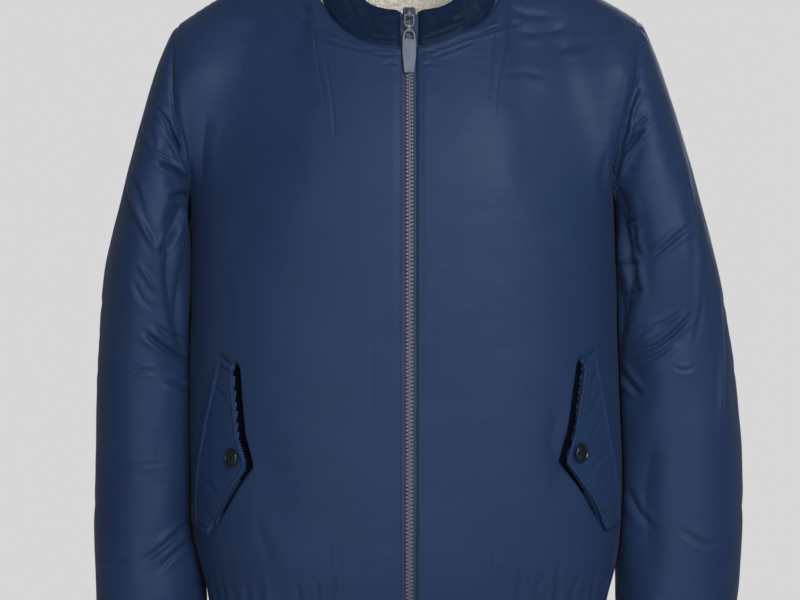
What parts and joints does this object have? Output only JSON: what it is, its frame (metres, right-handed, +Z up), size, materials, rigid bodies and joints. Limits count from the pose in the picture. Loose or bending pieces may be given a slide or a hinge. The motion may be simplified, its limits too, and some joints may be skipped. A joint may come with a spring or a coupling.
{
  "type": "bomber jacket",
  "caption": "Zip-front bomber jacket in worn form: lightly padded shell, pile-lined stand collar, slanted pocket flaps with snaps, elasticated waistband and cuffs.",
  "frame": {"origin": "midway between the two points where the shoulder seams meet the collar, where the wearer's shoulders carry the jacket", "axes": "+Z up along the wearer's back, +X towards the wearer's left, -Y towards the zipped front"},
  "size_m": [0.6481, 0.2575, 0.7996],
  "materials": {
    "shell": "navy plain-weave taffeta with a soft satin sheen over thin wadding",
    "pile": "cream curly pile",
    "tape": "dark woven zip tape",
    "teeth": "moulded grey plastic",
    "slider": "pale grey lacquered metal",
    "cap": "dark gunmetal with a soft gloss"
  },
  "bodies": {
    "root": {"back": "shell", "front_right": "shell", "front_left": "shell", "sleeve_right": "shell", "sleeve_left": "shell", "waistband": "shell", "cuff_right": "shell", "cuff_left": "shell", "collar": "shell", "collar_lining": "pile", "pocket_flap_right": "shell", "pocket_flap_left": "shell", "snap_right": "cap", "snap_left": "cap", "zip_tape_right": "tape", "zip_tape_left": "tape", "zip_chain": "teeth", "zip_box": "teeth", "zip_slider": "slider"},
    "link": {"zip_link": "slider"},
    "pull": {"zip_pull": "slider"}
  },
  "joints": [
    {"name": "link_swing", "type": "hinge", "parent": "root", "child": "link", "pos_m": [0, -0.07544, -0.06131], "axis": [-1, 0, 0], "range_deg": [0, 160]},
    {"name": "pull_swing", "type": "hinge", "parent": "link", "child": "pull", "pos_m": [0, -0.08034, -0.07281], "axis": [-1, 0, 0], "range_deg": [0, 90]}
  ]
}
